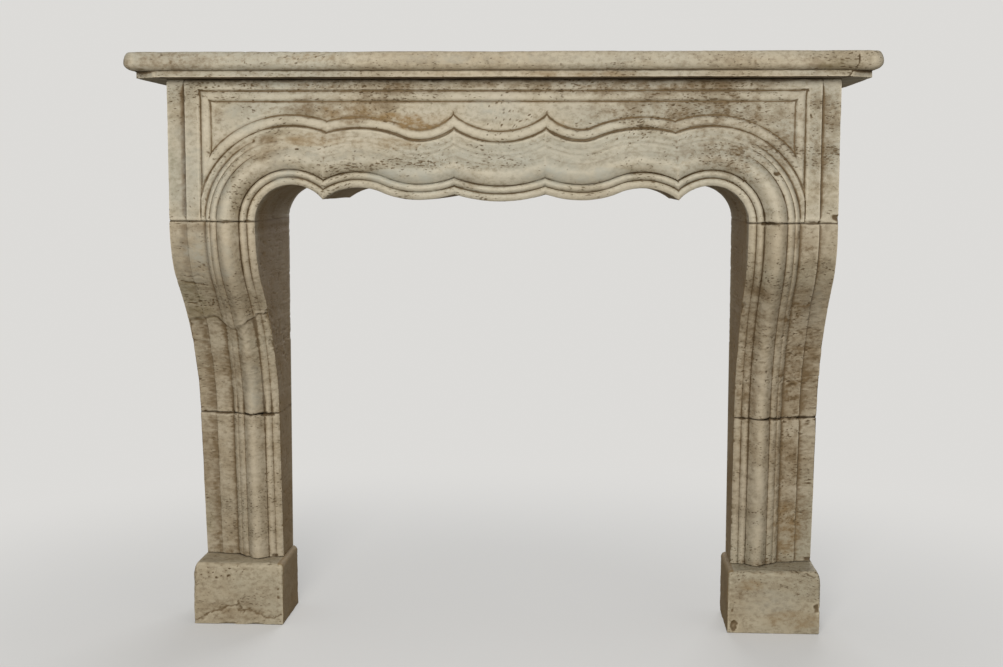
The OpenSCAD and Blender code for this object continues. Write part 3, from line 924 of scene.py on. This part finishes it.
def jamb_rough(points):
    """Carving stays crisp above the knee and is rough and rubbed below it."""
    return 0.55 + 1.1 * ramp(points[:, 2], 720, 560) * ramp(points[:, 2], 300, 560) \
        + 0.5 * ramp(points[:, 2], 460, 300)


def jamb_pitted(points):
    """More pits on the outer strips."""
    outer = ramp(np.abs(points[:, 0]), half_open + 60, half_open + 110)
    return 0.55 + 0.35 * outer


for side, number, turned, wear, soft in (("right", 200, list, right_wear, 0.1),
                                         ("left", 300, mirrored, left_wear, 0.8)):
    for course, ends, step, more in (("upper", [joint_high, joint_low], 1.5, 0),
                                     ("lower", [plinth_h, joint_low], 1.6, 50)):
        stone = turned(jamb_patches(min(ends), max(ends), step, wear, soft))
        make_stone(f"{course}_jamb_stone_{side}", f"{course}_jamb_{side}", "jamb_stone", stone,
                   number + more, beds=ends, joints=ends, rough=jamb_rough, pitted=jamb_pitted)

# %% [markdown]
# ## The shelf
# The slab's edge is a nose, fuller below its middle, over a thin canted fillet. Both follow the
# same way round: down the left end, along the front, up the right end. A profile is carried
# along it, and at each front corner the nose swings through a quarter circle while the fillet
# cuts straight across. Flat grids close the top, the underside and the back.
# %% Runs round the shelf's edge
CORNER_R, NOSE_D, NOSE_LOW, NOSE_UPPER = 24.0, 19.0, 0.42, 0.55
FILLET_T, FILLET_OVER, FILLET_END_OVER, CANT, CANT_W = 11.0, 40.0, 49.0, 30.0, 39.0
root_x, root_y = shelf_high[0] - CORNER_R, shelf_low[1] + CORNER_R
slab_z = frieze_top + FILLET_T
slab_t = mantel_h - slab_z
fillet_x, fillet_y = half_w + FILLET_END_OVER, face_y - FILLET_OVER
FRONT_N, SIDE_N, CORNER_N = 532, 46, 14


def edge_run(x_half, y_front, cut, corner_shape):
    """Points round the edge: left end, corner, front, corner, right end.

    cut is how much of the front and of each end the corner takes; corner_shape(t) gives the
    right-hand corner's points for t from 0 at the front to 1 at the end."""
    side = wall_y + (y_front + cut[1] - wall_y) * crowded(0, 1, SIDE_N, 0.3)
    front_x = (x_half - cut[0]) * np.linspace(-1, 1, FRONT_N + 1)
    t = np.arange(1, CORNER_N) / CORNER_N
    right_corner = corner_shape(t)
    right_side = np.stack([np.full(len(side), x_half), side[::-1]], 1)
    front_run = np.stack([front_x, np.full(len(front_x), y_front)], 1)
    right = np.concatenate([right_corner, right_side])
    return np.concatenate([right[::-1] * [-1, 1], front_run, right])


def nose_run(out):
    """The edge of the slab at a distance out from the corners' centres: arcs at the corners."""
    def corner(t):
        angle = np.radians(90 * t - 90)
        return np.stack([root_x + out * np.cos(angle), root_y + out * np.sin(angle)], 1)
    run = edge_run(root_x, root_y, (0, 0), corner)
    count = SIDE_N + 1
    run[:count, 0] -= out
    run[-count:, 0] += out
    run[count + CORNER_N - 1:-count - CORNER_N + 1, 1] -= out
    return run


def fillet_run(inset):
    """The canted edge of the fillet, moved in by an inset: straight cuts at the corners."""
    x, y = fillet_x - inset, fillet_y + inset
    wide, deep = CANT_W - 0.6 * inset, CANT - 0.6 * inset
    return edge_run(x, y, (wide, deep), lambda t: np.stack([x - wide + wide * t, y + deep * t], 1))


print("points round the edge:", len(nose_run(0)), len(fillet_run(0)))

# %% Build the shelf


def level_ring(run, z):
    """A run of plan points at one height."""
    return np.concatenate([run, np.full((len(run), 1), z)], 1)


rings = [level_ring(nose_run(out), mantel_h) for out in (0, 3, 6.5, 10)]
for a in np.radians(np.linspace(90, 0, 17)):
    out = CORNER_R - NOSE_D + NOSE_D * (1 - NOSE_UPPER * (1 - math.cos(a)))
    rings.append(level_ring(nose_run(out), slab_z + slab_t * (NOSE_LOW + (1 - NOSE_LOW) * math.sin(a))))
for a in np.radians(np.linspace(0, -90, 17))[1:]:
    out = CORNER_R - NOSE_D + NOSE_D * math.cos(a)
    rings.append(level_ring(nose_run(out), slab_z + slab_t * NOSE_LOW * (1 + math.sin(a))))
for z in slab_z - crowded(0, FILLET_T, 8, 0.4):
    rings.append(level_ring(fillet_run(0), z))
rings += [level_ring(fillet_run(inset), frieze_top) for inset in (1.5, 5, 14)]
inner_x, inner_y = half_w - 5, face_y + 6
inner_run = edge_run(inner_x, inner_y, (0, 0), lambda t: np.tile([[inner_x, inner_y]], (len(t), 1)))
edge_grid = np.array(rings + [level_ring(inner_run, frieze_top)])


def flat_grid(ring):
    """A flat grid between a run's two ends, its front and the wall: columns by depth."""
    side = ring[:SIDE_N + 1][::-1]
    front_line = ring[SIDE_N + CORNER_N:SIDE_N + CORNER_N + FRONT_N + 1]
    grid = np.repeat(front_line[None], SIDE_N + 1, 0)
    grid[..., 1] = side[:, 1][:, None]
    return grid


top_grid, under_grid = flat_grid(edge_grid[0]), flat_grid(edge_grid[-1])
patches = [(edge_grid, (0, -1, 0)), (top_grid, (0, 0, 1)), (under_grid, (0, 0, -1)),
           (np.stack([top_grid[-1], under_grid[-1]]), (0, 1, 0))]
for k in (0, -1):
    patches.append((np.stack([np.repeat(edge_grid[:1, k], len(edge_grid), 0), edge_grid[:, k]]), (0, 1, 0)))
make_stone("mantel_shelf", "shelf", "shelf_stone", patches, 400, beds=[], joints=[],
           rough=0.7, pitted=0.5)

# %% [markdown]
# ## The plinths
# A plinth is a worn block. Start with a box of six grids. Pull each point to the nearest point
# of a smaller core box, then set it back out along that line by a radius: flat faces stay
# where they are, while edges and corners come out round. The radius is larger along the top.
# %% Build the plinths


def block_patches(low, high, step):
    """Six grids on a box's faces, with outward directions."""
    grids = []
    for axis in range(3):
        u, v = [k for k in range(3) if k != axis]
        runs = [crowded(low[k], high[k], round((high[k] - low[k]) / step), 0.25) for k in (u, v)]
        a, b = np.meshgrid(*runs)
        for value, out in ((low[axis], -1), (high[axis], 1)):
            grid = np.zeros(a.shape + (3,))
            grid[..., u], grid[..., v], grid[..., axis] = a, b, value
            direction = np.zeros(3)
            direction[axis] = out
            grids.append((grid, direction))
    return grids


def rubbed_block(points, low, high, outer_sign):
    """Rounds a box's points: nearest core point plus the radius along the way out."""
    outward = (points[..., 0] * outer_sign - min(abs(low[0]), abs(high[0]))) / (high[0] - low[0])
    top = ramp(points[..., 2], low[2] + 40, high[2] - 30)
    radius = np.stack([3 + 7 * top * ramp(outward, 0.2, 0.9) + 4 * top * ramp(outward, 0.3, 0.0),
                       2.5 + 6.5 * top * ramp(points[..., 1], 60, 40),
                       1.5 + top * (7 + 20 * ramp(outward, 0.7, 0.97))], -1)
    core = np.clip(points, low + radius, high - radius)
    away = (points - core) / radius
    length = np.maximum(np.linalg.norm(away, axis=-1, keepdims=True), 1)
    return core + away / length * radius


for side, number, sign in (("right", 500, 1), ("left", 600, -1)):
    low, high = stone_box(f"plinth_{side}")
    blocks = [(rubbed_block(grid, low, high, sign), out) for grid, out in block_patches(low, high, 2.2)]
    make_stone(f"worn_plinth_{side}", f"plinth_{side}", "plinth_stone", blocks, number,
               beds=[0.0, plinth_h], joints=[], rough=1.1)

# %% [markdown]
# ## Shader sums
# A material is a net of nodes. To write one as plain sums, a small class holds a socket and
# gives it the signs of arithmetic: each sign adds one Math node. Colours must not pass through
# Math, which would turn them grey, so they are blended by Mix nodes through the same builder.
# %% Wires


class Wire:
    """A shader socket that can be added, multiplied and so on."""

    def __init__(self, bench, socket):
        self.bench, self.socket = bench, socket

    def math(self, operation, *others):
        values = dict(enumerate([self, *others]))
        return self.bench.node("ShaderNodeMath", {"operation": operation}, values)[0]

    def __add__(self, other):
        return self.math("ADD", other)

    def __sub__(self, other):
        return self.math("SUBTRACT", other)

    def __mul__(self, other):
        return self.math("MULTIPLY", other)

    def __rsub__(self, other):
        return (self * -1) + other

    __radd__, __rmul__ = __add__, __mul__

    def between(self, start, end):
        """0 at start, 1 at end, an even S between them."""
        settings = {"interpolation_type": "SMOOTHSTEP"}
        return self.bench.node("ShaderNodeMapRange", settings, {0: self, 1: start, 2: end})[0]


print("a wire can", [name for name in vars(Wire) if callable(getattr(Wire, name)) and "init" not in name])

# %% The bench


class Bench:
    """Adds nodes to one material."""

    def __init__(self, material):
        self.tree = material.node_tree

    def node(self, kind, settings=None, sockets=None):
        """A node of a kind: its settings first, then its sockets' values or wires."""
        made = self.tree.nodes.new(kind)
        for key, value in (settings or {}).items():
            setattr(made, key, value)
        for key, value in (sockets or {}).items():
            if isinstance(value, Wire):
                self.tree.links.new(value.socket, made.inputs[key])
            else:
                made.inputs[key].default_value = value
        return [Wire(self, out) for out in made.outputs if out.enabled]

    def blend(self, factor, first, second):
        """A colour between two colours."""
        first, second = [(*c, 1) if isinstance(c, tuple) else c for c in (first, second)]
        settings = {"data_type": "RGBA", "clamp_factor": True}
        return self.node("ShaderNodeMix", settings, {0: factor, 6: first, 7: second})[0]

    def noise(self, place, scale, detail=4.0, roughness=0.55):
        """Fractal noise from 0 to 1."""
        return self.node("ShaderNodeTexNoise", {}, {"Vector": place, "Scale": scale, "Detail": detail,
                                                    "Roughness": roughness})[0]

    def stretched(self, place, factors):
        """Coordinates multiplied axis by axis."""
        return self.node("ShaderNodeVectorMath", {"operation": "MULTIPLY"}, {0: place, 1: factors})[0]

    def note(self, name):
        """A number that was stored at the mesh's points."""
        settings = {"attribute_name": name, "attribute_type": "GEOMETRY"}
        return self.node("ShaderNodeAttribute", settings)[2]


print("the bench has", [name for name in vars(Bench) if not name.startswith("_")])

# %% [markdown]
# ## Travertine
# Travertine is laid down in level beds by hot springs. Its cream changes from bed to bed, gas
# holes run in rows along the beds, and old dirt is brown in every hollow. The recipe follows
# that: cloudy tones stretched along the beds, two sizes of fine pits that crowd in some beds,
# dirt by the notes of hollowness, then the stains by their own notes. Rubbed ridges are paler.
# %% The travertine recipe
STAIN_AND_LIGHT_COLOURS = (("bloom", 0.72, (0.415, 0.405, 0.34)), ("brown", 0.95, (0.175, 0.118, 0.058)),
                 ("olive", 0.7, (0.20, 0.172, 0.085)), ("ochre", 0.95, (0.26, 0.175, 0.08)))


def travertine(name, pale, warm, grey, dirty, pitted, soot):
    """One stone's material: three tones, then how much dirt, how many pits and how much soot."""
    material = bpy.data.materials.new(name)
    material.use_nodes = True
    bench = Bench(material)
    bench.tree.nodes.clear()
    place = bench.node("ShaderNodeTexCoord")[3]
    stir = bench.node("ShaderNodeTexNoise", {}, {"Vector": place, "Scale": 9.0, "Detail": 3.0})[1]
    bent = bench.node("ShaderNodeVectorMath", {"operation": "MULTIPLY_ADD"},
                      {0: stir, 1: (0.05,) * 3, 2: place})[0]
    beds = bench.noise(bench.stretched(bent, (2.4, 2.4, 17)), 1.0, 5.0)
    mottle = bench.noise(bench.stretched(bent, (1, 1, 1.6)), 8.0, 6.0, 0.62)
    blotch = bench.noise(bench.stretched(place, (1, 1, 1.4)), 26.0, 5.0, 0.6)
    cloudy = bench.noise(place, 2.6, 3.0)
    fine = bench.noise(bench.stretched(place, (1, 1, 1.4)), 95.0, 5.0, 0.65)
    grain = bench.noise(place, 420.0, 3.0)
    tone = bench.blend((mottle * 0.5 + beds * 0.3 + blotch * 0.3).between(0.44, 0.68), pale, warm)
    tone = bench.blend((cloudy * 0.7 + beds * 0.35).between(0.46, 0.66) * 0.8, tone, grey)
    tone = bench.blend((fine.between(0.4, 0.72) * 0.8 + (grain - 0.5) * 0.7 - 0.04), tone,
                       tuple(0.68 * c for c in warm))
    hollow, pit, crack = bench.note("hollow"), bench.note("pit"), bench.note("crack")
    tone = bench.blend((hollow * -1).between(0.03, 0.6) * 0.5, tone, tuple(min(1, c * 1.2) for c in pale))
    crowd = (mottle * 0.55 + beds * 0.5 + blotch * 0.25).between(0.5, 0.82) * pitted
    crowd = (bench.note("bloom") * -0.6 + 1) * crowd
    long_pits, round_pits = [
        bench.node("ShaderNodeTexVoronoi", {}, {"Vector": bench.stretched(way, cells), "Scale": 1.0})[0]
        for way, cells in ((bent, (85, 85, 260)), (place, (170, 170, 300)))]
    specks = (crowd * 0.46 - long_pits).between(0.0, 0.12)
    specks = specks + (crowd * 0.42 - round_pits).between(0.0, 0.14) * 0.6
    brown, umber = (0.17, 0.112, 0.052), (0.085, 0.055, 0.025)
    dusty = hollow.between(0.0, 0.7) * (mottle * 1.5 - 0.1) + (crowd * blotch).between(0.2, 0.5) * 0.35
    tone = bench.blend(dusty * dirty, tone, tuple(0.55 * c for c in warm))
    tone = bench.blend(hollow.between(0.06, 0.55) * (blotch * 1.7) * dirty, tone, brown)
    tone = bench.blend(hollow.between(0.3, 0.95) * (blotch * 1.9 - 0.15) * dirty, tone, umber)
    broken = (mottle * 0.8 + blotch * 0.9 + fine * 0.9).between(1.12, 1.5)
    # Most ovals are stains. On the shelf's nose some are painted shade at the ends and a painted highlight
    # in the middle.
    for kind, share, colour in STAIN_AND_LIGHT_COLOURS:
        tone = bench.blend(bench.note(kind) * (broken * 0.72 + 0.28) * share, tone, colour)
    specks = specks + bench.note("brown") * (fine.between(0.55, 0.72) * 0.6)
    tone = bench.blend(specks * 0.8, tone, (0.13, 0.086, 0.04))
    # Umber from the pits and from the crack note. That note also holds painted shade: the shadow under the
    # shelf and the band below the ledge.
    tone = bench.blend(pit.between(0.05, 0.9) * 0.72 + crack.between(0.2, 0.95) * 0.86, tone, umber)
    tone = bench.blend(bench.note("soot") * (mottle * 0.6 + 0.55) * soot, tone, (0.2, 0.124, 0.042))
    height = fine * 0.6 + blotch * 0.5 + grain * 0.14 - specks * 1.0
    normal = bench.node("ShaderNodeBump", {}, {"Strength": 0.7, "Distance": 0.0013, "Height": height})[0]
    shader = bench.node("ShaderNodeBsdfPrincipled", {}, {
        "Base Color": tone, "Roughness": mottle * 0.16 + 0.66, "Normal": normal,
        "Specular IOR Level": 0.3})[0]
    bench.node("ShaderNodeOutputMaterial", {}, {0: shader})
    return material


print("stain colours for", [kind for kind, _, _ in STAIN_AND_LIGHT_COLOURS])

# %% Recipes for the stones
STONES = {  # pale, warm and grey tones, then how dirty, pitted and sooty
    "shelf": ((0.49, 0.43, 0.32), (0.36, 0.29, 0.19), (0.42, 0.40, 0.325), 0.7, 0.75, 0.2),
    "frieze": ((0.49, 0.44, 0.34), (0.365, 0.30, 0.195), (0.42, 0.41, 0.34), 0.9, 0.9, 0.85),
    "jamb": ((0.44, 0.38, 0.28), (0.325, 0.258, 0.165), (0.38, 0.35, 0.26), 0.72, 0.8, 0.95),
    "plinth": ((0.44, 0.38, 0.27), (0.33, 0.258, 0.162), (0.375, 0.34, 0.25), 0.8, 0.8, 0.9)}
recipes = {f"{part}_stone": travertine(f"{part} travertine", *tones) for part, tones in STONES.items()}
for stone in [o for o in bpy.data.objects if "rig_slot" in o and o.type == "MESH"]:
    stone.data.materials.append(recipes[stone["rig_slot"]])

# %% [markdown]
# ## Floor, light and camera
# A plain pale floor carries the shadow. What the camera sees of it fades with distance into the
# sky's own pale tone, by a Light Path switch, so no horizon shows, while the stone is lit by a
# darker floor. A soft lamp stands in front, a little above the shelf, a weak one at the right
# and a wide one behind. A dim even sky fills the rest, so a frontal face renders about the
# colour it is given.
# %% Floor and sky
PAPER = (0.72, 0.71, 0.69, 1)


def floor_material():
    """Pale matt floor that eases into the sky's tone, and throws less light back than it shows."""
    material = bpy.data.materials.new("pale floor")
    material.use_nodes = True
    bench = Bench(material)
    bench.tree.nodes.clear()
    place = bench.node("ShaderNodeTexCoord")[3]
    away = bench.node("ShaderNodeVectorMath", {"operation": "LENGTH"}, {0: place})[0]
    seen = bench.node("ShaderNodeLightPath")[0]
    tone = bench.blend(bench.noise(place, 1.5, 3.0), (0.68, 0.67, 0.65), (0.72, 0.71, 0.69))
    tone = bench.blend(seen, (0.30, 0.275, 0.235), tone)
    shader = bench.node("ShaderNodeBsdfPrincipled", {}, {"Base Color": tone, "Roughness": 0.85})[0]
    glow = bench.node("ShaderNodeEmission", {}, {"Color": PAPER, "Strength": 1.0})[0]
    factor = seen * (away.between(0.5, 1.8) * 0.65 + 0.35)
    mixed = bench.node("ShaderNodeMixShader", {}, {0: factor, 1: shader, 2: glow})[0]
    bench.node("ShaderNodeOutputMaterial", {}, {0: mixed})
    return material


size, fill_strength = 14.0, 0.34
mesh = bpy.data.meshes.new("studio_floor")
corners = [(-size, -size, 0), (size, -size, 0), (size, size, 0), (-size, size, 0)]
mesh.from_pydata(corners, [], [(0, 1, 2, 3)])
floor = bpy.data.objects.new("studio_floor", mesh)
floor.data.materials.append(floor_material())
bpy.context.scene.collection.objects.link(floor)

world = bpy.data.worlds.new("studio")
bpy.context.scene.world = world
world.use_nodes = True
sky = Bench(world)
sky.tree.nodes.clear()
seen = sky.node("ShaderNodeLightPath")[0]
fill = sky.node("ShaderNodeBackground", {}, {
    "Color": (0.97, 0.985, 1.0, 1), "Strength": fill_strength})[0]
pale = sky.node("ShaderNodeBackground", {}, {"Color": PAPER, "Strength": 1.0})[0]
both = sky.node("ShaderNodeMixShader", {}, {0: seen, 1: fill, 2: pale})[0]
sky.node("ShaderNodeOutputWorld", {}, {0: both})
print("floor", 2 * size, "m across, fill light", fill_strength)

# %% Lamps


def soft_lamp(name, place, aim, size, power, colour):
    """A square area lamp at a place, turned to look at a point."""
    lamp = bpy.data.lights.new(name, "AREA")
    lamp.shape, lamp.size, lamp.energy, lamp.color = "SQUARE", size, power, colour
    thing = bpy.data.objects.new(name, lamp)
    bpy.context.scene.collection.objects.link(thing)
    thing.location = place
    thing.rotation_euler = (Vector(aim) - Vector(place)).to_track_quat("-Z", "Y").to_euler()
    return thing


middle = (Vector(cad_low) + Vector(cad_high)) / 2
soft_lamp("key", (-0.3, -3.3, 1.5), (0, 0, 0.95), 0.9, 84, (1.0, 0.98, 0.945))
soft_lamp("side_fill", (3.0, -2.9, 1.3), (0, 0, 0.5), 1.8, 14, (1.0, 0.97, 0.93))
soft_lamp("back_fill", (0.6, 4.2, 2.6), middle, 2.5, 95, (0.95, 0.97, 1.0))
print("three lamps aimed at", [round(c, 2) for c in middle])

# %% Camera
place = Vector((0.151386, -2.875447, 0.872302))
yaw, pitch, roll, lens = -0.05374, 0.09915, -0.00213, 54.66
ahead = Vector((math.sin(yaw) * math.cos(pitch), math.cos(yaw) * math.cos(pitch), -math.sin(pitch)))
right = Vector((math.cos(yaw), -math.sin(yaw), 0))
down = ahead.cross(right)
right, down = (right * math.cos(roll) + down * math.sin(roll),
               down * math.cos(roll) - right * math.sin(roll))
camera_data = bpy.data.cameras.new("camera")
camera_data.lens, camera_data.sensor_width = lens, 36.0
camera = bpy.data.objects.new("camera", camera_data)
axes = Matrix((right, -down, -ahead)).transposed().to_4x4()
camera.matrix_world = Matrix.Translation(place) @ axes
bpy.context.scene.collection.objects.link(camera)
bpy.context.scene.camera = camera
bpy.context.scene.view_settings.view_transform = "Standard"
print("camera at", [round(c, 3) for c in place], "lens", lens, "mm")
